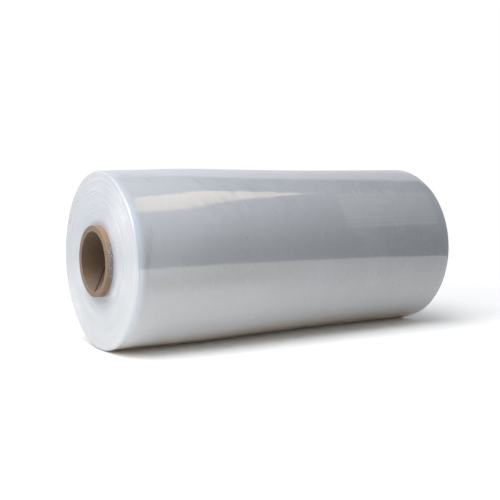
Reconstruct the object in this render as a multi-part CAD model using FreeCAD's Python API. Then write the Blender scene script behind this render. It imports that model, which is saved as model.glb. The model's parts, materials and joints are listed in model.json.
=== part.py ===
"""A roll of machine stretch wrap film lying on its side, in millimetres.

One long web of clear film is wound on a spiral-wound paperboard tube. The tube stands proud of
the film at both ends. The roll's axis runs along X and lies level. The origin is on the floor,
under the middle of the roll, and +Z is up. The end at -X is the one with the starting edge of
the film showing on the tube. Angles about the axis are in degrees from +Y toward +Z.
"""

import math
import os

import FreeCAD
import Part

# The web of film, and the share of air that is wound in between its turns.
FILM_WIDTH = 500.0
FILM_LENGTH = 1_500_000.0
FILM_GAUGE = 0.023
WOUND_AIR = 0.015

# The paperboard tube, for a 3 inch mandrel.
CORE_BORE = 76.2
CORE_WALL = 7.0
CORE_OVERHANG = 7.5
CORE_RIM_CHAMFER = 0.6

# The inner ply of the tube is a strip wound on a slant, whose edges don't quite meet.
PLY_WIDTH = 130.0
PLY_THICKNESS = 0.5
SEAM_GAP = 1.2
SEAM_START = -94.0

# The tube is made in short lengths, several to each turn of the seam.
LENGTHS_PER_TURN = 2
CUTTER_OVERRUN = 0.17
CUTTER_STAND = 1.0

# The roll has settled on a narrow flat.
FLAT_WIDTH = 30.0

# The worn shoulder where each end face meets the outside, eased in a few flats.
SHOULDER_RADIUS = 3.0
SHOULDER_FLATS = 2

# The film's gauge varies across the web, so the outside swells near the -X end and dips further
# on: (share of the width from the -X end, share of the swell above the even winding).
GAUGE_SWELL = 2.0
GAUGE_BANDS = (
    (0.00, -0.75),
    (0.10, 0.00),
    (0.24, 0.75),
    (0.37, 0.35),
    (0.57, -0.25),
    (1.00, 0.20),
)

# The web wandered as it was wound, so packets of turns lie a little to one side of the next:
# (share of the winding from the tube outwards, share of the wander toward +X).
WEB_WANDER = 0.5
PACKETS = (
    (0.00, 0.6),
    (0.14, 0.0),
    (0.28, 0.9),
    (0.42, 0.2),
    (0.55, 1.0),
    (0.67, 0.3),
    (0.78, 0.9),
    (0.87, 0.3),
    (0.94, 1.0),
    (1.00, 0.0),
)

# The starting edge of the film, stuck down on the tube beside the -X end face.
STARTER_LENGTH = 5.5
STARTER_THICKNESS = 0.3
STARTER_FROM = 144.0
STARTER_TO = 206.0

# Sizes that follow from those above.
BORE_RADIUS = CORE_BORE / 2
CORE_RADIUS = BORE_RADIUS + CORE_WALL
CORE_LENGTH = FILM_WIDTH + 2 * CORE_OVERHANG
FILM_AREA = FILM_LENGTH * FILM_GAUGE * (1 + WOUND_AIR)
WOUND_RADIUS = math.sqrt(CORE_RADIUS**2 + FILM_AREA / math.pi)
AXIS_HEIGHT = math.sqrt(WOUND_RADIUS**2 - (FLAT_WIDTH / 2) ** 2)
CORE_AROUND = math.pi * CORE_BORE
SEAM_LEAD = PLY_WIDTH / math.sqrt(1 - (PLY_WIDTH / CORE_AROUND) ** 2)


def outline_point(along, radius):
    """A point of an outline drawn over the Z axis, before it is laid along X."""
    return FreeCAD.Vector(radius, 0, along)


def edges_through(points):
    """Straight edges from each point to the next."""
    return [Part.makeLine(a, b) for a, b in zip(points, points[1:])]


def turned(edges, angle=360.0):
    """The solid that a closed outline sweeps about the Z axis."""
    return Part.Face(Part.Wire(edges)).revolve(FreeCAD.Vector(), FreeCAD.Vector(0, 0, 1), angle)


def laid_down(shape):
    """The shape with its Z axis laid along the roll's axis, and its X axis along Y."""
    turn = FreeCAD.Rotation(FreeCAD.Vector(1, 1, 1), 120)
    onto_floor = FreeCAD.Placement(FreeCAD.Vector(0, 0, AXIS_HEIGHT), turn)
    shape.Placement = onto_floor.multiply(shape.Placement)
    return shape


def turn_about_z(shape, angle):
    """Turns a shape about the Z axis, by an angle in degrees."""
    shape.rotate(FreeCAD.Vector(), FreeCAD.Vector(0, 0, 1), angle)


def seam_cutter(length):
    """A helical rib that cuts the seam through one length of tube, halfway along it at 180."""
    overrun = CUTTER_OVERRUN * length
    helix = Part.makeHelix(SEAM_LEAD, length + 2 * overrun, BORE_RADIUS)
    slant = math.atan2(SEAM_LEAD, CORE_AROUND)
    across = FreeCAD.Vector(0, -math.sin(slant), math.cos(slant)) * (SEAM_GAP / 2)
    inner = FreeCAD.Vector(BORE_RADIUS - CUTTER_STAND, 0, 0)
    outer = FreeCAD.Vector(BORE_RADIUS + PLY_THICKNESS, 0, 0)
    corners = [inner - across, outer - across, outer + across, inner + across]
    section = Part.makePolygon(corners + corners[:1])
    cutter = Part.Wire(helix.Edges).makePipeShell([section], True, True)
    cutter.translate(FreeCAD.Vector(0, 0, -overrun))
    turn_about_z(cutter, 180 - 360 * (length / 2 + overrun) / SEAM_LEAD)
    return cutter


def tube_length(length, eased_ends):
    """One length of tube with its part of the seam, and the rims at the given ends eased."""
    tube = Part.makeCylinder(CORE_RADIUS, length).cut(Part.makeCylinder(BORE_RADIUS, length))
    rims = [
        edge
        for edge in tube.Edges
        for end in eased_ends
        if abs(edge.CenterOfMass.z - end) < edge.Length * 1e-6
    ]
    if rims:
        tube = tube.makeChamfer(CORE_RIM_CHAMFER, rims)
    return tube.cut(seam_cutter(length))


def core_tube():
    """The paperboard tube, with eased rims and the open seam of its inner ply."""
    count = math.ceil(LENGTHS_PER_TURN * CORE_LENGTH / SEAM_LEAD)
    length = CORE_LENGTH / count
    advance = 360 * length / SEAM_LEAD
    pieces = []
    for index in range(count):
        eased_ends = [0.0] * (index == 0) + [length] * (index == count - 1)
        piece = tube_length(length, eased_ends)
        turn_about_z(piece, SEAM_START - 180 + advance * (index + 0.5))
        piece.translate(FreeCAD.Vector(0, 0, index * length - CORE_LENGTH / 2))
        pieces.append(piece)
    return laid_down(pieces[0].multiFuse(pieces[1:]).removeSplitter())


def end_face(end, outer):
    """The points of one end face from the tube out to the shoulder. end is -1 or 1."""
    face = end * FILM_WIDTH / 2
    wound = outer - CORE_RADIUS
    return [
        outline_point(face + shift * WEB_WANDER, CORE_RADIUS + share * wound)
        for share, shift in PACKETS
    ]


def shoulder(end, radius):
    """The points of the eased edge between an end face and the outside. end is -1 or 1."""
    centre = outline_point(end * (FILM_WIDTH / 2 - SHOULDER_RADIUS), radius - SHOULDER_RADIUS)
    points = []
    for flat in range(SHOULDER_FLATS + 1):
        angle = math.pi / 2 * flat / SHOULDER_FLATS
        reach = outline_point(end * math.cos(angle), math.sin(angle))
        points.append(centre + reach * SHOULDER_RADIUS)
    return points


def starter():
    """The few crumpled layers of film that hold the first turn to the tube."""
    face = -FILM_WIDTH / 2
    root = face + WEB_WANDER
    corners = [
        outline_point(face - STARTER_LENGTH, CORE_RADIUS),
        outline_point(root, CORE_RADIUS),
        outline_point(root, CORE_RADIUS + STARTER_THICKNESS),
        outline_point(face - STARTER_LENGTH, CORE_RADIUS + STARTER_THICKNESS),
    ]
    patch = turned(edges_through(corners + corners[:1]), STARTER_TO - STARTER_FROM)
    turn_about_z(patch, STARTER_FROM)
    return patch


def wound_film():
    """Every turn of the film as one solid, with its uneven ends and outside and resting flat."""
    bands = [(share, WOUND_RADIUS + rise * GAUGE_SWELL) for share, rise in GAUGE_BANDS]
    near_shoulder = shoulder(-1, bands[0][1])
    far_shoulder = shoulder(1, bands[-1][1])
    outline = end_face(-1, near_shoulder[0].x)[:-1] + near_shoulder
    outline += [outline_point(FILM_WIDTH * (share - 0.5), radius) for share, radius in bands[1:-1]]
    outline += far_shoulder[::-1] + end_face(1, far_shoulder[0].x)[-2::-1]
    film = laid_down(turned(edges_through(outline + outline[:1])).fuse(starter()))
    below = Part.makeBox(2 * FILM_WIDTH, 2 * WOUND_RADIUS, WOUND_RADIUS)
    below.translate(FreeCAD.Vector(-FILM_WIDTH, -WOUND_RADIUS, -WOUND_RADIUS))
    return film.cut(below)


def main():
    os.makedirs("parts", exist_ok=True)
    for name, make in (("core_tube", core_tube), ("wound_film", wound_film)):
        shape = make()
        print(name, "valid", shape.isValid(), "solids", len(shape.Solids), "volume", round(shape.Volume))
        shape.exportStep("parts/" + name + ".step")


main()
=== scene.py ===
"""A roll of stretch wrap film lying on a white table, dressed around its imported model.

Everything is in metres. The roll's axis runs along X, its near end is at -X, and the floor is
at z = 0. Angles about the axis are in degrees from +Y toward +Z.
"""

import json
import math

import bmesh
import bpy
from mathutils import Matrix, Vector, noise


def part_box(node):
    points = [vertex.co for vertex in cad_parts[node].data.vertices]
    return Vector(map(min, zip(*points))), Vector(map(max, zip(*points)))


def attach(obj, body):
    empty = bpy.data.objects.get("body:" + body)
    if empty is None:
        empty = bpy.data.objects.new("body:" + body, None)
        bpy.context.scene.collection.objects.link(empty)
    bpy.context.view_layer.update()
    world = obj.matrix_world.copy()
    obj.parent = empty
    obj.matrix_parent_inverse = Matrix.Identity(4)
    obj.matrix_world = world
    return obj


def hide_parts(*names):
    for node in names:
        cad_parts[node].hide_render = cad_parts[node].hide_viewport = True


MM = 0.001

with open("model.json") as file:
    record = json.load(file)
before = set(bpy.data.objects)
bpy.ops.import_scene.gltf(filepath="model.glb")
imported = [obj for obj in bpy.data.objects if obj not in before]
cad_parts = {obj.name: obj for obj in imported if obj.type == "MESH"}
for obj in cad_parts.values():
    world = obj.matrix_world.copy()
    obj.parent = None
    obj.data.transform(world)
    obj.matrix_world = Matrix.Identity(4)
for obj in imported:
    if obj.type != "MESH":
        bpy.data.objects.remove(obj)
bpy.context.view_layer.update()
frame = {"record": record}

MOUNTS = {mount["name"]: mount for mount in frame["record"]["mounts"]}
AXIS_Z = MOUNTS["core_bore"]["pos_m"][2]
AXIS_POINT = Vector((0.0, 0.0, AXIS_Z))
AXIS = Vector((1.0, 0.0, 0.0))
BORE_RADIUS = MOUNTS["core_bore"]["dims"]["r_mm"] * MM
CORE_LOW, CORE_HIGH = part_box("core_tube")
CORE_END = CORE_HIGH[0]
CORE_RADIUS = (CORE_HIGH[1] - CORE_LOW[1]) / 2
FILM_FACE = 0.25
FILM_RADIUS = 0.11475
SHOULDER = 3.0 * MM

# Rise of the outside over its even radius, in mm, by share of the width from the near end.
GAUGE_BANDS = (
    (0.00, -1.5),
    (0.03, -0.9),
    (0.07, -0.4),
    (0.12, 0.1),
    (0.17, 0.9),
    (0.22, 1.4),
    (0.27, 1.5),
    (0.33, 1.1),
    (0.41, 0.5),
    (0.49, 0.0),
    (0.57, -0.45),
    (0.66, -0.55),
    (0.78, -0.3),
    (0.90, 0.1),
    (1.00, 0.4),
)

# Sideways shift of the packets of turns, in mm, by share of the winding from the core out.
PACKETS = (
    (0.00, 0.25),
    (0.14, 0.10),
    (0.28, 0.32),
    (0.42, 0.20),
    (0.55, 0.40),
    (0.67, 0.28),
    (0.78, 0.40),
    (0.87, 0.30),
    (0.94, 0.38),
    (1.00, 0.20),
)


# Node helpers


def node(tree, kind, inputs=None, **settings):
    """A shader node with its settings and its inputs, each a value or another node's socket."""
    made = tree.nodes.new(kind)
    for name, value in settings.items():
        setattr(made, name, value)
    for name, value in (inputs or {}).items():
        if isinstance(value, bpy.types.NodeSocket):
            tree.links.new(value, made.inputs[name])
        else:
            made.inputs[name].default_value = value
    return made


def calc(tree, operation, first, second=0.0):
    """The result of a Math node."""
    return node(tree, "ShaderNodeMath", {0: first, 1: second}, operation=operation).outputs[0]


def vector_calc(tree, operation, first, second=(0.0, 0.0, 0.0)):
    """The vector result of a Vector Math node."""
    return node(tree, "ShaderNodeVectorMath", {0: first, 1: second}, operation=operation).outputs[0]


def scaled(tree, vector, amount):
    """A vector times a value or a socket."""
    inputs = {0: vector, "Scale": amount}
    return node(tree, "ShaderNodeVectorMath", inputs, operation="SCALE").outputs[0]


def ramp(tree, value, low, high):
    """0 below low and 1 above high, or the other way round where high is below low."""
    start, stop, first, last = (low, high, 0.0, 1.0) if low < high else (high, low, 1.0, 0.0)
    inputs = {"Value": value, "From Min": start, "From Max": stop, "To Min": first, "To Max": last}
    return node(tree, "ShaderNodeMapRange", inputs, interpolation_type="SMOOTHSTEP").outputs[0]


def window(tree, value, low, high, soft):
    """1 between low and high, falling to 0 over a soft edge on both sides."""
    rising = ramp(tree, value, low - soft, low + soft)
    falling = ramp(tree, value, high + soft, high - soft)
    return calc(tree, "MULTIPLY", rising, falling)


def product(tree, *values):
    """All the values multiplied."""
    result = values[0]
    for value in values[1:]:
        result = calc(tree, "MULTIPLY", result, value)
    return result


def blended(tree, share, first, second):
    """The colour between two colours."""
    made = node(tree, "ShaderNodeMix", data_type="RGBA")
    for name, value in (("Factor", share), ("A", first), ("B", second)):
        socket = [entry for entry in made.inputs if entry.name == name and entry.enabled][0]
        if isinstance(value, bpy.types.NodeSocket):
            tree.links.new(value, socket)
        else:
            socket.default_value = value
    return [entry for entry in made.outputs if entry.enabled][0]


def tinted(tree, base, tint, *masks):
    """The base drawn toward a tint, a strength and a colour, where all the masks are 1."""
    strength, colour = tint
    return blended(tree, product(tree, *masks, strength), base, colour)


def noise_value(tree, vector, scale, detail=2.0, roughness=0.5):
    """Noise between 0 and 1, by cells per metre."""
    inputs = {"Vector": vector, "Scale": scale, "Detail": detail, "Roughness": roughness}
    return node(tree, "ShaderNodeTexNoise", inputs).outputs[0]


LINE_ROUGHNESS = 0.6


def line_noise(tree, across, along, across_scale, along_scale, detail=2.0, offset=0.0):
    """Noise drawn out into lines: quick across them and slow along them."""
    first = calc(tree, "MULTIPLY", across, across_scale)
    second = calc(tree, "MULTIPLY", along, along_scale)
    place = node(tree, "ShaderNodeCombineXYZ", {0: first, 1: second, 2: offset}).outputs[0]
    return noise_value(tree, place, 1.0, detail, LINE_ROUGHNESS)


def centred(tree, value, amount):
    """A 0 to 1 value made to swing an amount each way of nothing."""
    return calc(tree, "MULTIPLY", calc(tree, "SUBTRACT", value, 0.5), 2 * amount)


def rgba(red, green, blue):
    """A solid colour."""
    return (red, green, blue, 1.0)


def new_material(name):
    """An empty material with its node tree and its shader."""
    material = bpy.data.materials.new(name)
    material.use_nodes = True
    tree = material.node_tree
    tree.nodes.clear()
    output = node(tree, "ShaderNodeOutputMaterial")
    shader = node(tree, "ShaderNodeBsdfPrincipled")
    tree.links.new(shader.outputs[0], output.inputs[0])
    return material, tree, shader


def group_tree(name, inputs, outputs):
    """A shader node group with its inputs and outputs, each a name and a socket kind."""
    tree = bpy.data.node_groups.new(name, "ShaderNodeTree")
    for socket_name, kind in inputs.items():
        tree.interface.new_socket(socket_name, in_out="INPUT", socket_type=kind)
    for socket_name, kind in outputs.items():
        tree.interface.new_socket(socket_name, in_out="OUTPUT", socket_type=kind)
    return tree, tree.nodes.new("NodeGroupInput"), tree.nodes.new("NodeGroupOutput")


FLOAT = "NodeSocketFloat"
VECTOR = "NodeSocketVector"
COLOUR = "NodeSocketColor"


def roll_coordinates_group():
    """Where a point is on the roll: along the axis, out from it, and round it."""
    outputs = {
        "Along": FLOAT,
        "Radius": FLOAT,
        "Round": FLOAT,
        "Height": FLOAT,
        "Outward": VECTOR,
        "Around": VECTOR,
        "Place": VECTOR,
    }
    tree, _, output = group_tree("roll coordinates", {}, outputs)
    place = node(tree, "ShaderNodeTexCoord").outputs["Object"]
    offset = vector_calc(tree, "SUBTRACT", place, AXIS_POINT)
    flat = vector_calc(tree, "MULTIPLY", offset, (0.0, 1.0, 1.0))
    radius = node(tree, "ShaderNodeVectorMath", {0: flat}, operation="LENGTH").outputs["Value"]
    split = node(tree, "ShaderNodeSeparateXYZ", {0: offset}).outputs
    outward = vector_calc(tree, "NORMALIZE", flat)
    results = {
        "Along": split[0],
        "Radius": radius,
        "Round": calc(tree, "ARCTAN2", split[1], split[2]),
        "Height": split[2],
        "Outward": outward,
        "Around": vector_calc(tree, "CROSS_PRODUCT", AXIS, outward),
        "Place": place,
    }
    for name, socket in results.items():
        tree.links.new(socket, output.inputs[name])
    return tree


ROLL_COORDINATES = roll_coordinates_group()


def roll_coordinates(tree):
    """The outputs of the roll's coordinates, by name."""
    return node(tree, "ShaderNodeGroup", node_tree=ROLL_COORDINATES).outputs


CLOUD_SHARE = 0.4
FIBRE_SHARE = 0.6
PAPER_CONTRAST = (0.28, 0.72)


def paper_fibre_group():
    """Paper: its mottled colour and the lie of its fibres, as a height."""
    inputs = {"Place": VECTOR, "Light": COLOUR, "Dark": COLOUR}
    outputs = {"Colour": COLOUR, "Height": FLOAT}
    tree, group_input, output = group_tree("paper fibres", inputs, outputs)
    given = group_input.outputs
    cloud = noise_value(tree, given["Place"], 160.0, 4.0, 0.65)
    fibre = noise_value(tree, given["Place"], 1400.0, 2.0, 0.6)
    share = calc(tree, "ADD", product(tree, cloud, CLOUD_SHARE), product(tree, fibre, FIBRE_SHARE))
    colour = blended(tree, ramp(tree, share, *PAPER_CONTRAST), given["Dark"], given["Light"])
    tree.links.new(colour, output.inputs["Colour"])
    tree.links.new(fibre, output.inputs["Height"])
    return tree


PAPER_FIBRES = paper_fibre_group()


# Mesh helpers


def finished(bm, name, material, node_name=None, smooth_below=40.0):
    """The bmesh as a piece of the roll, smooth where its faces meet flatter than an angle."""
    bmesh.ops.recalc_face_normals(bm, faces=bm.faces)
    limit = math.radians(smooth_below)
    for edge in bm.edges:
        edge.smooth = len(edge.link_faces) == 2 and edge.calc_face_angle(0.0) < limit
    for face in bm.faces:
        face.smooth = True
    mesh = bpy.data.meshes.new(name)
    bm.to_mesh(mesh)
    bm.free()
    mesh.materials.append(material)
    piece = bpy.data.objects.new(name, mesh)
    bpy.context.collection.objects.link(piece)
    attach(piece, "root")
    if node_name:
        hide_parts(node_name)
    return piece


def around_axis(along, radius, degrees=90.0):
    """The point at a place along the roll, a radius and an angle."""
    angle = math.radians(degrees)
    return AXIS_POINT + Vector((along, radius * math.cos(angle), radius * math.sin(angle)))


def add_outline(bm, points, closed=False, degrees=90.0):
    """Edges through (along, radius) pairs, in the half plane at an angle about the axis."""
    verts = [bm.verts.new(around_axis(along, radius, degrees)) for along, radius in points]
    pairs = list(zip(verts, verts[1:]))
    if closed:
        pairs.append((verts[-1], verts[0]))
    return verts + [bm.edges.new(pair) for pair in pairs]


def spin_about_axis(bm, geom, steps, angle=math.tau, advance=0.0):
    """Sweeps edges or faces about the roll's axis, all the way round or as a screw."""
    whole = angle == math.tau and advance == 0.0
    bmesh.ops.spin(
        bm,
        geom=geom,
        cent=AXIS_POINT,
        axis=AXIS,
        dvec=AXIS * advance / steps,
        angle=angle,
        steps=steps,
        use_merge=whole,
    )


def close_holes(bm):
    """Closes every open edge with a face."""
    bmesh.ops.holes_fill(bm, edges=[edge for edge in bm.edges if edge.is_boundary])


def eased(rows, share):
    """The value of a table of (share, value) rows at a share, with smooth runs between rows."""
    for (start, first), (stop, last) in zip(rows, rows[1:]):
        if share <= stop:
            part = (share - start) / (stop - start)
            return first + (last - first) * (3 - 2 * part) * part * part
    return rows[-1][1]


# The film

FACE_RINGS = 72
BAND_RINGS = 64
SHOULDER_RINGS = 5
ROUND_STEPS = 256
TURN_RAGGEDNESS = 0.03 * MM
RAGS_PER_MM = 0.9


def outside_radius(share):
    """The radius of the outside at a share of the film's width from the near end."""
    return FILM_RADIUS + eased(GAUGE_BANDS, share) * MM


def outside_at(along):
    """The radius of the outside at a place along the roll."""
    return outside_radius((along + FILM_FACE) / (2 * FILM_FACE))


def end_face_outline(end):
    """The packets of turns of one end face, from the core out to the shoulder."""
    outer = outside_at(end * FILM_FACE) - SHOULDER
    points = []
    for ring in range(FACE_RINGS + 1):
        share = ring / FACE_RINGS
        radius = CORE_RADIUS + share * (outer - CORE_RADIUS)
        ragged = noise.noise((radius / MM * RAGS_PER_MM, end * 5.0, 0.0)) * (1 - share**8)
        ragged *= TURN_RAGGEDNESS
        points.append((end * FILM_FACE + eased(PACKETS, share) * MM + ragged, radius))
    return points


def shoulder_outline(end):
    """The worn edge between one end face and the outside, from the end face."""
    top = outside_at(end * FILM_FACE)
    points = []
    for ring in range(1, SHOULDER_RINGS + 1):
        turn = math.pi / 2 * ring / SHOULDER_RINGS
        along = end * (FILM_FACE - SHOULDER + SHOULDER * math.cos(turn))
        points.append((along, top - SHOULDER + SHOULDER * math.sin(turn)))
    return points


def film_outline():
    """The outline of the wound film, from the core at the near end round to the far end."""
    outside = []
    for band in range(1, BAND_RINGS):
        share = band / BAND_RINGS
        outside.append(((FILM_FACE - SHOULDER) * (2 * share - 1), outside_radius(share)))
    near = end_face_outline(-1) + shoulder_outline(-1)
    far = end_face_outline(1) + shoulder_outline(1)
    return near + outside + far[::-1]


def make_wound_film(material):
    """Every turn of the film: one closed form with a settled flat underneath."""
    bm = bmesh.new()
    spin_about_axis(bm, add_outline(bm, film_outline()), ROUND_STEPS)
    bmesh.ops.bridge_loops(bm, edges=[edge for edge in bm.edges if edge.is_boundary])
    bmesh.ops.bisect_plane(
        bm,
        geom=bm.verts[:] + bm.edges[:] + bm.faces[:],
        plane_co=(0.0, 0.0, 0.0),
        plane_no=(0.0, 0.0, -1.0),
        clear_outer=True,
    )
    close_holes(bm)
    return finished(bm, "film_turns", material, "wound_film")


# The starting edge of the film, crumpled on the tube beside the near end face.
STARTER_LENGTH = 5.5 * MM
STARTER_FROM = 144.0
STARTER_TO = 206.0
STARTER_RINGS = 16
STARTER_STEPS = 90
STARTER_THICKNESS = 0.06 * MM
STARTER_ROOT = 0.5 * MM
CRUMPLES_PER_METRE = Vector((300.0, 260.0, 260.0))
FINE_CRUMPLES = 2.7
CRUMPLE_LIFT = 1.1 * MM
CRUMPLE_LEAST = 0.08 * MM
FRAYS_PER_METRE = 300.0
FRAY_DEPTH = 1.4 * MM


def make_starting_edge(material):
    """A thin patch of film, bent round the tube and crumpled."""
    bm = bmesh.new()
    root = -FILM_FACE + STARTER_ROOT
    tip = -FILM_FACE - STARTER_LENGTH
    shares = [ring / STARTER_RINGS for ring in range(STARTER_RINGS + 1)]
    points = [(root + (tip - root) * share, CORE_RADIUS) for share in shares]
    outline = add_outline(bm, points, degrees=STARTER_FROM)
    spin_about_axis(bm, outline, STARTER_STEPS, math.radians(STARTER_TO - STARTER_FROM))
    for vert in bm.verts:
        offset = vert.co - AXIS_POINT
        outward = Vector((0.0, offset.y, offset.z)).normalized()
        reach = (root - offset.x) / (root - tip)
        place = offset * CRUMPLES_PER_METRE
        crumple = abs(noise.noise(place)) + 0.5 * abs(noise.noise(place * FINE_CRUMPLES))
        border = (offset.z * FRAYS_PER_METRE, offset.y * FRAYS_PER_METRE, 7.0)
        vert.co += outward * (CRUMPLE_LEAST + CRUMPLE_LIFT * crumple)
        vert.co.x += reach * noise.noise(border) * FRAY_DEPTH
    bmesh.ops.solidify(bm, geom=bm.faces[:], thickness=STARTER_THICKNESS)
    return finished(bm, "starting_edge", material, "wound_film", smooth_below=70.0)


# Creases round the outside beside the near end: (along in mm, from, to in degrees, width,
# height in mm, slant in mm).
CREASES = (
    (-233.5, 153.0, 178.0, 1.2, 0.36, -1.4),
    (-236.5, 158.0, 184.0, 1.0, 0.30, 0.6),
    (-230.5, 156.0, 175.0, 1.3, 0.40, -2.2),
    (-227.5, 152.0, 166.0, 0.9, 0.26, 1.0),
    (-239.0, 166.0, 186.0, 0.9, 0.24, 0.4),
)
CREASE_STEPS = 28
CREASE_WANDER = 0.5 * MM
LEAST_FADE = 0.05


def crease_fade(share):
    """How much of a crease stands up at a share of its length."""
    inside = min(max(share, 0.0), 1.0)
    return max(LEAST_FADE, math.sin(math.pi * inside)) ** 0.7


def make_creases(material):
    """Narrow folds that stand a little proud of the outermost turn."""
    bm = bmesh.new()
    for along_mm, start, stop, width, height, slant in CREASES:
        fold = bmesh.new()
        along = along_mm * MM
        surface = outside_at(along)
        points = (
            (along - width / 2 * MM, surface),
            (along, surface + height * MM),
            (along + width / 2 * MM, surface),
            (along, surface - height * MM),
        )
        outline = add_outline(fold, points, closed=True, degrees=start)
        spin_about_axis(fold, outline, CREASE_STEPS, math.radians(stop - start))
        close_holes(fold)
        for vert in fold.verts:
            offset = vert.co - AXIS_POINT
            degrees = math.degrees(math.atan2(offset.z, offset.y)) % 360
            share = (degrees - start) / (stop - start)
            fade = crease_fade(share)
            radius = surface + (math.hypot(offset.y, offset.z) - surface) * fade
            wander = CREASE_WANDER * noise.noise((share * 4, along_mm, 0.0))
            middle = along + slant * MM * (share - 0.5) + wander
            vert.co = around_axis(middle + (offset.x - along) * fade, radius, degrees)
        mesh = bpy.data.meshes.new("fold")
        fold.to_mesh(mesh)
        fold.free()
        bm.from_mesh(mesh)
        bpy.data.meshes.remove(mesh)
    return finished(bm, "creases", material, smooth_below=80.0)


# Specks of dust caught under the last turns: (along in mm, angle in degrees, size in mm).
SPECKS = (
    (-98.9, 164.9, 0.75),
    (52.6, 198.0, 0.65),
    (148.9, 202.4, 0.75),
    (-133.4, 182.9, 0.45),
    (-121.8, 183.2, 0.4),
    (-177.9, 193.6, 0.5),
    (-128.1, 224.8, 0.6),
    (-116.2, 187.8, 0.4),
)
SPECK_RADIUS = 0.85
SPECK_SHAPE = (1.6, 0.3, 0.9)


def make_specks(material):
    """Flattened grains, each turned to lie in the film's surface."""
    bm = bmesh.new()
    across = Vector((0.0, 1.0, 0.0))
    for along_mm, degrees, size in SPECKS:
        along = along_mm * MM
        radius = SPECK_RADIUS * size * MM
        speck = bmesh.ops.create_icosphere(bm, subdivisions=2, radius=radius)["verts"]
        bmesh.ops.scale(bm, vec=SPECK_SHAPE, verts=speck)
        turn = across.rotation_difference(around_axis(0.0, 1.0, degrees) - AXIS_POINT)
        bmesh.ops.rotate(bm, cent=(0.0, 0.0, 0.0), matrix=turn.to_matrix(), verts=speck)
        bmesh.ops.translate(bm, vec=around_axis(along, outside_at(along), degrees), verts=speck)
    return finished(bm, "specks", material)


# How the film is coloured and lined. A span is the value where a change starts and the value where
# it is whole. A window is where it is whole, from and to, and the softness of its edges. A tint is
# its greatest strength and its colour. Lines are given by how close they lie, how fast they change
# on their way, their detail, and an offset that keeps one set apart from another.

# The outside. Heights are over the roll's axis.
# Painted light: the outside is painted lighter toward the near end and darker toward the far end.
NEAR_GREY_PAINTED_LIT = rgba(0.41, 0.42, 0.44)
FAR_GREY_PAINTED_SHADED = rgba(0.30, 0.31, 0.325)
WHOLE_LENGTH = (-0.27, 0.24)
CLOUD_NOISE = (16.0, 3.0, 0.6)
CLOUD_DEPTH = 0.25
CLOUD_TINT = (1.0, rgba(0.50, 0.51, 0.53))
# Painted light from the floor on the lower half.
LOWER_HALF = (-0.02, -0.11)
PAINTED_FLOOR_LIGHT = (0.29, rgba(0.85, 0.84, 0.83))
# Painted light at the foot, standing for light through the film; it weakens toward the far end.
FOOT = (-0.075, -0.11)
FOOT_AT_MIDDLE = 0.22
FOOT_LOSS_PER_METRE = 2.1
PAINTED_FOOT_LIGHT = (1.0, rgba(0.95, 0.95, 0.95))
# Painted shade along the axis's level, where the side faces the dark room, clear of the near end.
LEVEL_BAND = (-0.020, 0.045, 0.030)
CLEAR_OF_NEAR_END = (-0.25, -0.12)
PAINTED_LEVEL_SHADE = (0.17, rgba(0.0, 0.0, 0.0))
# Painted warm shade just below the axis's level, on the near half.
UNDER_LEVEL = (-0.026, -0.006, 0.010)
NEAR_HALF = (0.02, -0.12)
PAINTED_WARM_SHADE = (0.18, rgba(0.12, 0.09, 0.03))
# Painted light: a pale blue band beside the ends.
BESIDE_ENDS = (FILM_FACE - 0.0125, FILM_FACE - 0.002)
NEAR_SIDE = (0.01, -0.01)
FAR_END_SHARE = 0.15
TOP = (0.055, 0.100)
TOP_LOSS = 0.7
PAINTED_END_LIGHT = (1.0, rgba(0.52, 0.56, 0.62))
CLEAR_OF_ENDS = (FILM_FACE - 0.004, FILM_FACE - 0.012)
# Painted light from the floor, browned, along the lowest part and in a fringe at the bottom edge.
TINGED = (-0.081, -0.106)
TINGED_ALONG = (-0.22, 0.0)
PAINTED_FLOOR_TINGE = (0.58, rgba(0.50, 0.38, 0.24))
FRINGE = (-0.098, -0.109)
PAINTED_FLOOR_FRINGE = (1.0, rgba(0.72, 0.56, 0.38))


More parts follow.
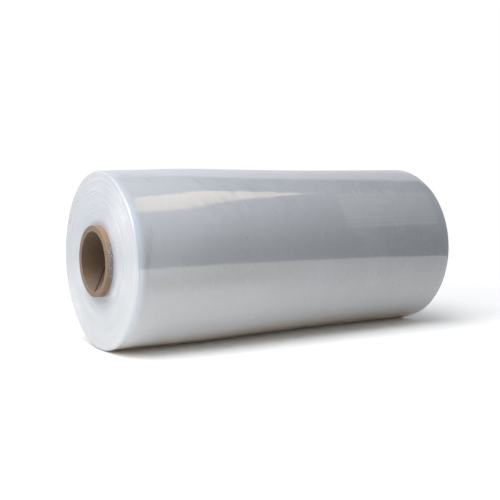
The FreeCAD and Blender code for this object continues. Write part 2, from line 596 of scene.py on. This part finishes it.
def film_side_colour(tree, at):
    """The outside: milky grey with painted light and shade, a painted bluer light beside the ends,
    and painted warm light where the turns meet the floor.
    """
    along, height = at["Along"], at["Height"]
    to_end = calc(tree, "ABSOLUTE", along)
    cloud = noise_value(tree, at["Place"], *CLOUD_NOISE)
    # Painted light: lighter toward the near end.
    side = blended(tree, ramp(tree, along, *WHOLE_LENGTH), NEAR_GREY_PAINTED_LIT, FAR_GREY_PAINTED_SHADED)
    side = tinted(tree, side, CLOUD_TINT, centred(tree, cloud, CLOUD_DEPTH))
    # Painted light from the floor: the lower half is painted lighter.
    side = tinted(tree, side, PAINTED_FLOOR_LIGHT, ramp(tree, height, *LOWER_HALF))
    # Painted light at the foot, stronger toward the near end.
    loss = calc(tree, "MULTIPLY", along, FOOT_LOSS_PER_METRE)
    foot = product(tree, ramp(tree, height, *FOOT), calc(tree, "SUBTRACT", FOOT_AT_MIDDLE, loss))
    side = tinted(tree, side, PAINTED_FOOT_LIGHT, foot)
    # Painted shade along the axis's level, clear of the near end.
    level = window(tree, height, *LEVEL_BAND)
    side = tinted(tree, side, PAINTED_LEVEL_SHADE, level, ramp(tree, along, *CLEAR_OF_NEAR_END))
    # Painted warm shade just below the axis's level, on the near half.
    under = window(tree, height, *UNDER_LEVEL)
    side = tinted(tree, side, PAINTED_WARM_SHADE, under, ramp(tree, along, *NEAR_HALF))

    # The pale band beside the ends is painted light, as from the end faces through the film, weaker
    # at the far end and toward the top.
    share = calc(tree, "ADD", ramp(tree, along, *NEAR_SIDE), FAR_END_SHARE)
    left = calc(tree, "SUBTRACT", 1.0, product(tree, ramp(tree, height, *TOP), TOP_LOSS))
    side = tinted(tree, side, PAINTED_END_LIGHT, ramp(tree, to_end, *BESIDE_ENDS), share, left)

    # Painted light from the floor, browned by the depth of the film, lies along the lowest part.
    inward = ramp(tree, to_end, *CLEAR_OF_ENDS)
    tinged = product(tree, ramp(tree, height, *TINGED), inward, ramp(tree, along, *TINGED_ALONG))
    side = tinted(tree, side, PAINTED_FLOOR_TINGE, tinged)
    return tinted(tree, side, PAINTED_FLOOR_FRINGE, ramp(tree, height, *FRINGE), inward)


# The ends. Distances out are from the core, and turns are in radians from the top.
TURN_LINES = (900.0, 0.6, 3.0)
TURN_CONTRAST = (0.2, 0.8)
TURN_DARK = rgba(0.545, 0.567, 0.603)
TURN_LIGHT = rgba(0.588, 0.609, 0.640)
# Painted shade: the ends are darker toward the bottom.
LOWER_END = (0.02, -0.08)
PAINTED_LOWER_END_SHADE = (0.24, rgba(0.0, 0.0, 0.0))
# Bluer and a little darker toward the core: the film's blue, with painted shade of the deep turns.
BLUE_INNER = (0.040, 0.008)
BLUE_PAINTED_INNER_SHADE = (1.0, rgba(0.52, 0.545, 0.605))
# Painted shade right beside the core, deeper above and below it.
AT_CORE = (0.011, 0.0)
AWAY_FROM_LEVEL = (0.010, 0.045)
AT_CORE_LEVEL = 0.20
AT_CORE_RISE = 0.40
PAINTED_CORE_SHADE = (1.0, rgba(0.32, 0.33, 0.38))
# Painted shadow of the core, below it.
ROUND_CORE = (0.030, 0.0)
BELOW_CORE = (-0.034, -0.049)
PAINTED_CORE_SHADOW = (0.92, rgba(0.15, 0.155, 0.17))
# Painted shade low beside the core and toward the back.
END_FOOT = (-0.020, -0.055)
END_FOOT_OUT = (0.072, 0.020)
BACK_TURN = (1.42, 1.90, 0.25)
BACK_RADIUS = (0.055, 0.080)
END_SHADE = (0.13, rgba(0.10, 0.105, 0.12))
# Painted highlights on the near end: a bow across the turns and a fainter one opposite, with streaks.
LOW_BOW_TURN = (1.95, 2.45, 0.30)
LOW_BOW_RADIUS = (0.080, 0.105)
LOW_BOW_SHARE = 0.5
BOW_TURN = (-1.15, -0.60, 0.30)
TOWARD_NEAR = (0.1, -0.1)
SHEEN_LINES = (1100.0, 5.0, 2.0, 3.0)
SHEEN_CUT = (0.54, 0.70)
SHEEN_RADIUS = (0.082, 0.106, 0.008)
SHEEN_EVEN = 0.30
PAINTED_SHEEN_TINT = (1.0, rgba(0.92, 0.93, 0.95))


def film_end_colour(tree, at):
    """The ends: bluish white, with painted shade where the turns lie deep beside the core and low
    down, and painted highlights across the turns.
    """
    radius, turn, height = at["Radius"], at["Round"], at["Height"]
    out = calc(tree, "SUBTRACT", radius, CORE_RADIUS)
    lines = line_noise(tree, radius, turn, *TURN_LINES)
    ends = blended(tree, ramp(tree, lines, *TURN_CONTRAST), TURN_DARK, TURN_LIGHT)
    # Painted shade: darker toward the bottom.
    ends = tinted(tree, ends, PAINTED_LOWER_END_SHADE, ramp(tree, height, *LOWER_END))
    # The film's blue with painted shade, toward the core.
    ends = tinted(tree, ends, BLUE_PAINTED_INNER_SHADE, ramp(tree, out, *BLUE_INNER))
    # Painted shade right beside the core, deeper above and below it.
    off_level = ramp(tree, calc(tree, "ABSOLUTE", height), *AWAY_FROM_LEVEL)
    depth = calc(tree, "ADD", product(tree, off_level, AT_CORE_RISE), AT_CORE_LEVEL)
    ends = tinted(tree, ends, PAINTED_CORE_SHADE, ramp(tree, out, *AT_CORE), depth)
    # Painted shadow of the core, below it.
    below = product(tree, ramp(tree, out, *ROUND_CORE), ramp(tree, height, *BELOW_CORE))
    ends = tinted(tree, ends, PAINTED_CORE_SHADOW, below)
    # Painted shade low beside the core and toward the back.
    foot = product(tree, ramp(tree, height, *END_FOOT), ramp(tree, out, *END_FOOT_OUT))
    back = product(tree, window(tree, turn, *BACK_TURN), ramp(tree, radius, *BACK_RADIUS))
    ends = tinted(tree, ends, END_SHADE, calc(tree, "ADD", foot, back))

    # A painted highlight: a bow of light lies across the turns, with a fainter one opposite, and
    # streaks in both.
    low_bow = product(tree, window(tree, turn, *LOW_BOW_TURN), ramp(tree, radius, *LOW_BOW_RADIUS))
    bow = window(tree, turn, *BOW_TURN)
    bow = calc(tree, "ADD", bow, product(tree, low_bow, LOW_BOW_SHARE))
    streaks = ramp(tree, line_noise(tree, radius, turn, *SHEEN_LINES), *SHEEN_CUT)
    streaks = product(tree, streaks, window(tree, radius, *SHEEN_RADIUS))
    painted_sheen = product(tree, bow, ramp(tree, at["Along"], *TOWARD_NEAR))
    return tinted(tree, ends, PAINTED_SHEEN_TINT, painted_sheen, calc(tree, "ADD", streaks, SHEEN_EVEN))


# The marks in the last turns, by place along the roll and turn in radians from the top.
HAIR_SLANT = 0.34
HAIR_LINES = (620.0, 22.0, 3.0)
HAIR_CUT = (0.50, 0.66)
HAIR_ALONG = (-0.160, 0.045, 0.03)
HAIR_TURN = (-1.25, -0.36, 0.15)
STRONG_HAIR_TURN = (-1.10, -0.78)
STRONG_HAIR_ALONG = (-0.010, -0.085)
WEAK_HAIRS = 0.40
STRONG_HAIRS = 0.60
HAIR_TINT = (0.22, rgba(0.24, 0.24, 0.25))
NOTCH_ALONG = (-0.243, -0.185, 0.015)
NOTCH_TURN = (-0.52, -0.25, 0.06)
PATCH_ALONG = (0.064, 0.232, 0.006)
PATCH_TURN = (-1.24, -0.76, 0.035)
PATCH_TINT = (0.12, rgba(0.54, 0.51, 0.48))
LEVEL_LINES = (360.0, 3.0, 1.0, 4.0)
LEVEL_CUT = (0.42, 0.70)
LEVEL_STRENGTH = 0.075
# Scuffs: scratch lines painted pale as glints of light.
SCUFF_GLINT_LINES = (520.0, 40.0, 2.0, 9.0)
SCUFF_GLINT_CUT = (0.55, 0.68)
SCUFF_GLINT_ALONG = (0.050, 0.205, 0.02)
SCUFF_GLINT_TURN = (-0.80, -0.52, 0.07)
SCUFF_GLINT_STRENGTH = 0.36
PALE_MARK_AND_GLINT = rgba(0.62, 0.61, 0.60)
STRETCH_LINES = (700.0, 90.0, 2.0, 2.0)
STRETCH_DEPTH = 0.16
DRAWN_LINES = (1000.0, 2.0, 2.0, 6.0)
DRAWN_DEPTH = 0.10
PALE_LINE = rgba(0.75, 0.75, 0.76)

# How far the combed normal leans at most, for each kind of line.
FINE_LINES = (1300.0, 3.0, 3.0)
FINE_LEAN = 0.12
WEAVE_LINES = (900.0, 120.0, 2.0, 2.0)
WEAVE_LEAN = 0.07
RING_LINES = (2400.0, 1.6, 2.0)
RING_LEAN = 1.2
HAIR_LEAN_ALONG = 0.17
HAIR_LEAN_ROUND = 0.13
NOTCH_LEAN = 0.32

# Where the shoulder has turned into the end face.
ON_END_FACE = (FILM_FACE - 0.0012, FILM_FACE - 0.0004)


def film_marks(tree, at, arc, slanted):
    """Masks of the hairlines, the notches, the patch, its level lines and the scuffs with their
    painted glints.
    """
    along, turn = at["Along"], at["Round"]
    middle = product(tree, window(tree, along, *HAIR_ALONG), window(tree, turn, *HAIR_TURN))
    strong = ramp(tree, turn, *STRONG_HAIR_TURN)
    strong = product(tree, strong, ramp(tree, along, *STRONG_HAIR_ALONG), STRONG_HAIRS)
    middle = product(tree, middle, calc(tree, "ADD", strong, WEAK_HAIRS))
    near_top = product(tree, window(tree, along, *NOTCH_ALONG), window(tree, turn, *NOTCH_TURN))
    hairs = ramp(tree, line_noise(tree, slanted, arc, *HAIR_LINES), *HAIR_CUT)
    hairs = product(tree, hairs, calc(tree, "MAXIMUM", middle, near_top))
    patch = product(tree, window(tree, along, *PATCH_ALONG), window(tree, turn, *PATCH_TURN))
    level = ramp(tree, line_noise(tree, arc, along, *LEVEL_LINES), *LEVEL_CUT)
    # Scratch lines, painted pale below as glints.
    scuff_glints = ramp(tree, line_noise(tree, along, arc, *SCUFF_GLINT_LINES), *SCUFF_GLINT_CUT)
    scuff_glints = product(tree, scuff_glints, window(tree, along, *SCUFF_GLINT_ALONG), window(tree, turn, *SCUFF_GLINT_TURN))
    return {
        "hairs": hairs,
        "notches": product(tree, hairs, near_top),
        "patch": patch,
        "level": product(tree, level, patch),
        "scuff_glints": scuff_glints,
    }


def marked_side_colour(tree, at, arc, slanted, marks):
    """The outside with the marks, the painted glints on the scuffs, and the fine lines that the
    stretching drew in it.
    """
    side = tinted(tree, film_side_colour(tree, at), HAIR_TINT, marks["hairs"])
    # The level lines and the scuffs are painted pale; on the scuffs the pale is a painted glint.
    level = product(tree, marks["level"], LEVEL_STRENGTH)
    pale = calc(tree, "MAXIMUM", level, product(tree, marks["scuff_glints"], SCUFF_GLINT_STRENGTH))
    side = blended(tree, pale, side, PALE_MARK_AND_GLINT)
    side = tinted(tree, side, PATCH_TINT, marks["patch"])
    stretched = line_noise(tree, slanted, arc, *STRETCH_LINES)
    drawn = line_noise(tree, at["Along"], at["Round"], *DRAWN_LINES)
    side = blended(tree, centred(tree, stretched, STRETCH_DEPTH), side, PALE_LINE)
    return blended(tree, centred(tree, drawn, DRAWN_DEPTH), side, PALE_LINE)


def combed_normal(tree, at, arc, slanted, marks, face):
    """The normal, combed along the axis outside, and along the radius on the ends."""
    fine = centred(tree, line_noise(tree, at["Along"], at["Round"], *FINE_LINES), FINE_LEAN)
    weave = centred(tree, line_noise(tree, slanted, arc, *WEAVE_LINES), WEAVE_LEAN)
    rings = centred(tree, line_noise(tree, at["Radius"], at["Round"], *RING_LINES), RING_LEAN)
    hairs = marks["hairs"]
    lean_along = calc(tree, "ADD", fine, product(tree, hairs, HAIR_LEAN_ALONG))
    cuts = product(tree, marks["notches"], NOTCH_LEAN)
    cuts = calc(tree, "ADD", product(tree, hairs, HAIR_LEAN_ROUND), cuts)
    lean_round = calc(tree, "ADD", weave, cuts)
    outside = vector_calc(
        tree, "ADD", scaled(tree, AXIS, lean_along), scaled(tree, at["Around"], lean_round)
    )
    comb = node(tree, "ShaderNodeMix", {"Factor": face}, data_type="VECTOR")
    tree.links.new(outside, comb.inputs[4])
    tree.links.new(scaled(tree, at["Outward"], rings), comb.inputs[5])
    plain = node(tree, "ShaderNodeNewGeometry").outputs["Normal"]
    return vector_calc(tree, "NORMALIZE", vector_calc(tree, "ADD", plain, comb.outputs[1]))


def wound_film_group():
    """Clear film in many turns: its milky colour and its normal, finely lined round the roll."""
    tree, _, output = group_tree("wound film", {}, {"Colour": COLOUR, "Normal": VECTOR})
    at = roll_coordinates(tree)
    arc = calc(tree, "MULTIPLY", at["Round"], FILM_RADIUS)
    slanted = calc(tree, "ADD", at["Along"], product(tree, arc, HAIR_SLANT))
    face = ramp(tree, calc(tree, "ABSOLUTE", at["Along"]), *ON_END_FACE)
    marks = film_marks(tree, at, arc, slanted)
    side = marked_side_colour(tree, at, arc, slanted, marks)
    colour = blended(tree, face, side, film_end_colour(tree, at))
    tree.links.new(colour, output.inputs["Colour"])
    normal = combed_normal(tree, at, arc, slanted, marks, face)
    tree.links.new(normal, output.inputs["Normal"])
    return tree


WOUND_FILM = wound_film_group()
# Painted shade: the film of the folds is a darker copy.
PAINTED_FOLD_SHADE = 0.16
PAINTED_FOLD_COLOUR = rgba(0.10, 0.10, 0.11)


def film_material(name, shade=0.0):
    """Glossy film, with painted shade by a share where it stands up in folds."""
    material, tree, shader = new_material(name)
    film = node(tree, "ShaderNodeGroup", node_tree=WOUND_FILM).outputs
    colour = blended(tree, shade, film["Colour"], PAINTED_FOLD_COLOUR)
    tree.links.new(colour, shader.inputs["Base Color"])
    tree.links.new(film["Normal"], shader.inputs["Normal"])
    shader.inputs["Roughness"].default_value = 0.07
    shader.inputs["Specular IOR Level"].default_value = 1.0
    shader.inputs["Coat Weight"].default_value = 1.0
    shader.inputs["Coat Roughness"].default_value = 0.03
    return material


# The loose film of the starting edge.
CRUMPLE_NOISE = (620.0, 3.0, 0.6)
WHITISH_CUT = (0.48, 0.66)
WHITISH_RISE = 0.55
WHITISH_LEAST = 0.30
RAGGED_DEPTH = 0.12
LOOSE_TURN = (-1.90, -1.00, 0.14)
# Painted glints on the crests of the crumples.
PAINTED_GLINT_CUT = (0.57, 0.72)
CREST_DARK = rgba(0.40, 0.36, 0.36)
PAINTED_GLINT_COLOUR = rgba(0.86, 0.85, 0.86)


def loose_film_material():
    """A few layers of clear film, whitish where they are crumpled, with painted glints on the crests.
    """
    material, tree, shader = new_material("loose film")
    at = roll_coordinates(tree)
    crumple = noise_value(tree, at["Place"], *CRUMPLE_NOISE)
    whitish = product(tree, ramp(tree, crumple, *WHITISH_CUT), WHITISH_RISE)
    whitish = calc(tree, "ADD", whitish, WHITISH_LEAST)
    ragged = calc(tree, "ADD", at["Round"], centred(tree, crumple, RAGGED_DEPTH))
    alpha = product(tree, whitish, window(tree, ragged, *LOOSE_TURN))
    tree.links.new(alpha, shader.inputs["Alpha"])
    # Painted glints: the crests of the crumples are painted near white.
    colour = blended(tree, ramp(tree, crumple, *PAINTED_GLINT_CUT), CREST_DARK, PAINTED_GLINT_COLOUR)
    tree.links.new(colour, shader.inputs["Base Color"])
    shader.inputs["Roughness"].default_value = 0.12
    shader.inputs["Coat Weight"].default_value = 1.0
    return material


def dust_material():
    """Dull grey dust."""
    material, _, shader = new_material("dust")
    shader.inputs["Base Color"].default_value = rgba(0.13, 0.125, 0.12)
    shader.inputs["Roughness"].default_value = 0.9
    return material


# The core

PLY = 0.5 * MM
PLY_COUNT = 14
PLY_GROOVE = 0.07 * MM
PLY_SHORTFALL = 0.16 * MM
PLY_POINTS = (0.1, 0.5, 0.9)
RIM_EASE = 0.6 * MM
RIM_STEPS = 192
SEAM_START = -94.0
SEAM_LEAD = 154.8 * MM
SEAM_GAP = 1.2 * MM
STRIP_ARC_STEPS = 96
STRIP_SCREW_STEPS = 130
STRIP_CLEARANCE = 0.02 * MM
STRIP_SHORTFALL = 0.3 * MM


def rim_ease(radius):
    """How far the rim falls back at a radius, by the rounding of its two edges."""
    past = max(radius - (CORE_RADIUS - RIM_EASE), BORE_RADIUS + RIM_EASE - radius, 0.0)
    return RIM_EASE - math.sqrt(max(RIM_EASE**2 - min(past, RIM_EASE) ** 2, 0.0))


def rim_outline(end):
    """The cut edges of the plies in one rim, from the second ply out to the outside."""
    points = []
    for ply in range(1, PLY_COUNT):
        inner = BORE_RADIUS + ply * PLY
        short = PLY_SHORTFALL * abs(noise.noise((ply * 1.37, end * 3.0, 0.5)))
        for share in PLY_POINTS:
            radius = inner + share * PLY
            points.append((end * (CORE_END - short - rim_ease(radius)), radius))
        if ply < PLY_COUNT - 1:
            radius = inner + PLY
            points.append((end * (CORE_END - short - PLY_GROOVE - rim_ease(radius)), radius))
    outside = (end * (CORE_END - RIM_EASE), CORE_RADIUS)
    lining = (end * (CORE_END - RIM_EASE), BORE_RADIUS + PLY)
    return [lining] + points + [outside]


def make_core_wall(material):
    """All the plies of the tube but the inner one."""
    bm = bmesh.new()
    outline = add_outline(bm, rim_outline(-1) + rim_outline(1)[::-1], closed=True)
    spin_about_axis(bm, outline, RIM_STEPS)
    return finished(bm, "core_wall", material, "core_tube", smooth_below=30.0)


def make_inner_ply(material):
    """The inner ply: a strip wound on a slant with an open seam."""
    slant = math.atan2(SEAM_LEAD, math.tau * BORE_RADIUS)
    gap = math.degrees(SEAM_GAP / math.sin(slant) / BORE_RADIUS)
    bm = bmesh.new()
    end = CORE_END - STRIP_SHORTFALL
    start = SEAM_START + 360 * (CORE_END - end) / SEAM_LEAD + gap / 2
    edge = [(-end, BORE_RADIUS), (-end, BORE_RADIUS + PLY - STRIP_CLEARANCE)]
    outline = add_outline(bm, edge, degrees=start)
    spin_about_axis(bm, outline, STRIP_ARC_STEPS, math.radians(360 - gap))
    section = bm.verts[:] + bm.edges[:] + bm.faces[:]
    spin_about_axis(bm, section, STRIP_SCREW_STEPS, math.tau * 2 * end / SEAM_LEAD, 2 * end)
    close_holes(bm)
    return finished(bm, "inner_ply", material, "core_tube", smooth_below=30.0)


# How the paperboard is coloured, by the same kinds of span, window and tint as the film.
RIM_FACE = (CORE_END - 0.0008, CORE_END - 0.0004)
PLY_NOISE = (620.0, 2.0, 0.7)
PLY_CONTRAST = (0.36, 0.64)
PLY_DARK = rgba(0.21, 0.145, 0.100)
PLY_LIGHT = rgba(0.29, 0.210, 0.150)
RIM_INNER_EDGE = (BORE_RADIUS + 0.0015, BORE_RADIUS + 0.0003)
RIM_INNER_TINT = (1.0, rgba(0.36, 0.29, 0.235))
OUTER_PAPER = (CORE_RADIUS - 0.0009, CORE_RADIUS - 0.0003)
BORE_BROWN = rgba(0.200, 0.130, 0.086)
OUTER_BROWN = rgba(0.385, 0.250, 0.165)
WITHIN_BORE = (CORE_RADIUS - 0.001, CORE_RADIUS - 0.002)
# Painted light low in the bore, where light reaches in.
LOW_IN_BORE = (-0.008, -0.036)
PAINTED_BORE_LIGHT = (0.45, rgba(0.42, 0.31, 0.23))
# Painted shade under the tube's outside.
UNDER_TUBE = (-0.005, -0.035)
PAINTED_UNDER_SHADE = (0.35, rgba(0.12, 0.08, 0.055))
# Painted shade in the seam's gap.
SEAM_DEPTH = (BORE_RADIUS + 0.0004, BORE_RADIUS + 0.0006, 0.00006)
PAINTED_SEAM_SHADE = (1.0, rgba(0.02, 0.013, 0.009))
FIBRE_LIGHT_SHARE = 0.72
FIBRE_BUMP = {"Strength": 0.4, "Distance": 0.0002}


def paperboard_material():
    """Grey-brown paperboard: warmer outside, greyer and paler on its cut rims, with painted light low
    in the bore and painted shade under the tube and in the seam.
    """
    material, tree, shader = new_material("paperboard")
    at = roll_coordinates(tree)
    radius, height = at["Radius"], at["Height"]
    plies = node(tree, "ShaderNodeCombineXYZ", {0: radius}).outputs[0]
    plies = ramp(tree, noise_value(tree, plies, *PLY_NOISE), *PLY_CONTRAST)
    cut = blended(tree, plies, PLY_DARK, PLY_LIGHT)
    cut = tinted(tree, cut, RIM_INNER_TINT, ramp(tree, radius, *RIM_INNER_EDGE))
    outer = ramp(tree, radius, *OUTER_PAPER)
    light = blended(tree, outer, BORE_BROWN, OUTER_BROWN)
    # Painted light low in the bore.
    low = product(tree, ramp(tree, height, *LOW_IN_BORE), ramp(tree, radius, *WITHIN_BORE))
    light = tinted(tree, light, PAINTED_BORE_LIGHT, low)
    # Painted shade under the tube's outside.
    light = tinted(tree, light, PAINTED_UNDER_SHADE, outer, ramp(tree, height, *UNDER_TUBE))
    # Painted shade in the seam's gap.
    light = tinted(tree, light, PAINTED_SEAM_SHADE, window(tree, radius, *SEAM_DEPTH))
    rim = ramp(tree, calc(tree, "ABSOLUTE", at["Along"]), *RIM_FACE)
    light = blended(tree, rim, light, cut)
    dark = blended(tree, FIBRE_LIGHT_SHARE, rgba(0.0, 0.0, 0.0), light)
    inputs = {"Place": at["Place"], "Light": light, "Dark": dark}
    fibres = node(tree, "ShaderNodeGroup", inputs, node_tree=PAPER_FIBRES).outputs
    tree.links.new(fibres["Colour"], shader.inputs["Base Color"])
    bump = node(tree, "ShaderNodeBump", FIBRE_BUMP)
    tree.links.new(fibres["Height"], bump.inputs["Height"])
    tree.links.new(bump.outputs[0], shader.inputs["Normal"])
    shader.inputs["Roughness"].default_value = 0.85
    return material


# The studio

CAMERA_PLACE = Vector((-0.6881, -1.0241, AXIS_Z + 0.1098))
CAMERA_YAW = math.radians(33.03)
CAMERA_PITCH = math.radians(4.987)
FOCAL_PIXELS = 876.3
FRAME_PIXELS = 500.0
SENSOR_MM = 36.0
CLIP = (0.01, 100.0)


def make_camera():
    """The camera, as it was fitted to the outlines in the photograph."""
    data = bpy.data.cameras.new("camera")
    data.sensor_width = SENSOR_MM
    data.lens = FOCAL_PIXELS / FRAME_PIXELS * SENSOR_MM
    data.clip_start, data.clip_end = CLIP
    camera = bpy.data.objects.new("camera", data)
    camera.location = CAMERA_PLACE
    camera.rotation_euler = (math.pi / 2 - CAMERA_PITCH, 0.0, -CAMERA_YAW)
    bpy.context.collection.objects.link(camera)
    bpy.context.scene.camera = camera
    bpy.context.scene.view_settings.view_transform = "Standard"


def staged(name, bm, material):
    """The bmesh as a part of the studio."""
    mesh = bpy.data.meshes.new(name)
    bm.to_mesh(mesh)
    bm.free()
    mesh.materials.append(material)
    thing = bpy.data.objects.new(name, mesh)
    bpy.context.collection.objects.link(thing)
    return thing


# The table ends in front of the roll, where its edge is mirrored in the film.
TABLE_CORNERS = (
    (-30.0, -1.05),
    (0.47, -1.05),
    (0.63, -0.40),
    (0.9, 0.6),
    (30.0, 30.0),
    (-30.0, 30.0),
)
TABLE_LIT = rgba(0.95, 0.94, 0.915)
TABLE_SEEN = rgba(1.0, 0.99, 0.97)
TABLE_GLOW = 0.045
FAR_GLOW = 0.7
FAR_DISTANCE = (0.5, 1.6)


def make_floor():
    """The white table. To the camera it fades into the white behind it."""
    material, tree, shader = new_material("white table")
    seen = node(tree, "ShaderNodeLightPath").outputs["Is Camera Ray"]
    tree.links.new(blended(tree, seen, TABLE_LIT, TABLE_SEEN), shader.inputs["Base Color"])
    shader.inputs["Roughness"].default_value = 1.0
    shader.inputs["Specular IOR Level"].default_value = 0.0
    shader.inputs["Emission Color"].default_value = rgba(1.0, 1.0, 1.0)
    place = node(tree, "ShaderNodeTexCoord").outputs["Object"]
    length = node(tree, "ShaderNodeVectorMath", {0: place}, operation="LENGTH")
    far = ramp(tree, length.outputs["Value"], *FAR_DISTANCE)
    glow = calc(tree, "ADD", product(tree, far, FAR_GLOW), TABLE_GLOW)
    tree.links.new(calc(tree, "MULTIPLY", seen, glow), shader.inputs["Emission Strength"])
    bm = bmesh.new()
    bm.faces.new([bm.verts.new((x, y, 0.0)) for x, y in TABLE_CORNERS])
    return staged("table", bm, material)


def glowing(name, colour, strength):
    """A card's even glow."""
    material = bpy.data.materials.new(name)
    material.use_nodes = True
    tree = material.node_tree
    tree.nodes.clear()
    output = node(tree, "ShaderNodeOutputMaterial")
    emission = node(tree, "ShaderNodeEmission", {"Color": colour, "Strength": strength})
    tree.links.new(emission.outputs[0], output.inputs[0])
    return material


def make_card(name, corners, material):
    """A card that only reflections see."""
    bm = bmesh.new()
    bm.faces.new([bm.verts.new(corner) for corner in corners])
    card = staged(name, bm, material)
    card.visible_camera = False
    card.visible_shadow = False
    card.visible_diffuse = False
    card.visible_transmission = False
    return card


# The room, by spans of the direction's x, y and z, and its colours. The bright sides and back
# light the roll's dull parts and are not mirrored.
BELOW_CEILING = (0.66, 0.64)
BEHIND = (0.1, 0.3)
ROOM_RISE = (0.0, 0.75)
ROOM_LOW = rgba(0.06, 0.08, 0.11)
ROOM_HIGH = rgba(0.53, 0.59, 0.67)
RIGHT_WALL = (0.35, 0.75)
RIGHT_WALL_COLOUR = rgba(0.16, 0.185, 0.22)
BACKDROP_RUN = (0.40, 0.72)
BACKDROP_LEFT = rgba(0.74, 0.74, 0.81)
BACKDROP_RIGHT = rgba(0.64, 0.63, 0.67)
SIDEWAYS = (0.50, 0.78)
LEFT_TO_RIGHT = (-0.1, 0.1)
LEFT_LIGHT = rgba(1.7, 1.7, 1.7)
RIGHT_LIGHT = rgba(1.2, 1.2, 1.2)
BACK_RUN = (0.5, 0.1)
BACK_LIGHT = rgba(1.9, 1.9, 1.9)
DIFFUSE_LOSS = 0.45


def make_world():
    """White behind the roll; round it, a pale backdrop low at the back and a blue-grey room."""
    world = bpy.data.worlds.new("studio")
    bpy.context.scene.world = world
    world.use_nodes = True
    tree = world.node_tree
    tree.nodes.clear()
    output = node(tree, "ShaderNodeOutputWorld")
    path = node(tree, "ShaderNodeLightPath").outputs
    diffuse = path["Is Diffuse Ray"]
    direction = node(tree, "ShaderNodeTexCoord").outputs["Generated"]
    across, back, up = node(tree, "ShaderNodeSeparateXYZ", {0: direction}).outputs
    low = ramp(tree, up, *BELOW_CEILING)
    behind = ramp(tree, back, *BEHIND)
    room = blended(tree, ramp(tree, up, *ROOM_RISE), ROOM_LOW, ROOM_HIGH)
    room = blended(tree, ramp(tree, across, *RIGHT_WALL), room, RIGHT_WALL_COLOUR)
    backdrop = blended(tree, ramp(tree, across, *BACKDROP_RUN), BACKDROP_LEFT, BACKDROP_RIGHT)
    room = blended(tree, product(tree, low, behind), room, backdrop)
    sideways = ramp(tree, calc(tree, "ABSOLUTE", across), *SIDEWAYS)
    sides = blended(tree, ramp(tree, across, *LEFT_TO_RIGHT), LEFT_LIGHT, RIGHT_LIGHT)
    room = blended(tree, product(tree, diffuse, sideways), room, sides)
    bright_back = product(tree, diffuse, low, behind, ramp(tree, across, *BACK_RUN))
    room = blended(tree, bright_back, room, BACK_LIGHT)
    seen = calc(tree, "MAXIMUM", path["Is Camera Ray"], path["Is Transmission Ray"])
    colour = blended(tree, seen, room, rgba(1.0, 1.0, 1.0))
    strength = calc(tree, "SUBTRACT", 1.0, product(tree, diffuse, DIFFUSE_LOSS))
    background = node(tree, "ShaderNodeBackground", {"Color": colour, "Strength": strength})
    tree.links.new(background.outputs[0], output.inputs[0])


def make_lamp(name, place, target, sides, power, mirrored=True):
    """A soft rectangular lamp, seen in reflections or not."""
    data = bpy.data.lights.new(name, "AREA")
    data.shape = "RECTANGLE"
    data.size, data.size_y = sides
    data.energy = power
    lamp = bpy.data.objects.new(name, data)
    lamp.location = place
    lamp.rotation_euler = (Vector(target) - Vector(place)).to_track_quat("-Z", "Y").to_euler()
    lamp.visible_glossy = mirrored
    bpy.context.collection.objects.link(lamp)
    return lamp


# The softbox over the roll, as its outline lies in the film.
SOFTBOX_CORNERS = (
    (0.30, -0.14),
    (0.44, -0.03),
    (0.54, 0.07),
    (0.80, 0.08),
    (1.03, -0.03),
    (0.86, -0.20),
    (0.67, -0.42),
    (0.48, -0.67),
    (0.30, -0.67),
)
SOFTBOX_HEIGHT = 1.5
SOFTBOX_COLOUR = rgba(1.0, 0.87, 0.70)
SOFTBOX_STRENGTH = 1.80

# The lamps: place, target, sides and power.
KEY = ((-1.2, -0.28, 1.05), (0.0, 0.0, 0.1), (0.6, 0.6), 5.5)
OVERHEAD = ((-0.46, -0.27, 1.45), (-0.1, -0.2, 0.0), (1.5, 1.1), 21.5)


def make_studio():
    """The table, the room, the softbox that the film mirrors and two lamps."""
    make_floor()
    make_world()
    corners = [Vector((x, y, SOFTBOX_HEIGHT)) for x, y in SOFTBOX_CORNERS]
    glow = glowing("warm softbox", SOFTBOX_COLOUR, SOFTBOX_STRENGTH)
    make_card("overhead_softbox", corners, glow)
    make_lamp("key", *KEY)
    make_lamp("overhead", *OVERHEAD, mirrored=False)


def main():
    """The studio, the film, the core and the camera."""
    make_studio()
    film = film_material("stretch film")
    paperboard = paperboard_material()
    make_wound_film(film)
    make_starting_edge(loose_film_material())
    # The folds get a copy of the film with painted shade.
    make_creases(film_material("creased film with painted shade", PAINTED_FOLD_SHADE))
    make_specks(dust_material())
    make_core_wall(paperboard)
    make_inner_ply(paperboard)
    make_camera()


main()
